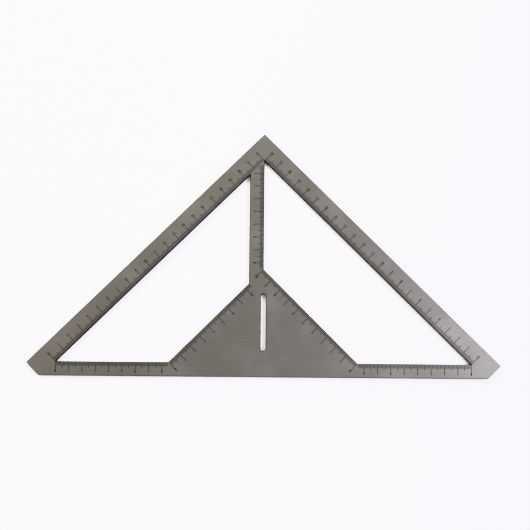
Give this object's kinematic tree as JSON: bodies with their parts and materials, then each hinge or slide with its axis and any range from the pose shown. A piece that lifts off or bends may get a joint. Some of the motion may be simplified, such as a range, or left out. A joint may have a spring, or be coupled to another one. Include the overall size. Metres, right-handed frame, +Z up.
{
  "type": "mitre layout square",
  "caption": "Flat right-angled triangular layout square with open windows, a centre bar, a slot and millimetre scales.",
  "frame": {"origin": "centre of the bounding box on the underside, on the centre line", "axes": "+X along the base edge, +Y towards the right-angled apex, +Z up through the plate, out of the marked face"},
  "size_m": [0.3556, 0.1876, 0.0035],
  "materials": {
    "plate_steel": "dark satin-brushed stainless steel",
    "laser_mark": "matt black laser marking"
  },
  "bodies": {
    "root": {"face_plate": "plate_steel", "left_arm_graduations": "laser_mark", "left_arm_numerals": "laser_mark", "right_arm_graduations": "laser_mark", "right_arm_numerals": "laser_mark", "left_base_graduations": "laser_mark", "left_base_numerals": "laser_mark", "right_base_graduations": "laser_mark", "right_base_numerals": "laser_mark", "left_slope_graduations": "laser_mark", "left_slope_numerals": "laser_mark", "right_slope_graduations": "laser_mark", "right_slope_numerals": "laser_mark", "centre_bar_graduations": "laser_mark", "centre_bar_numerals": "laser_mark"}
  },
  "joints": []
}
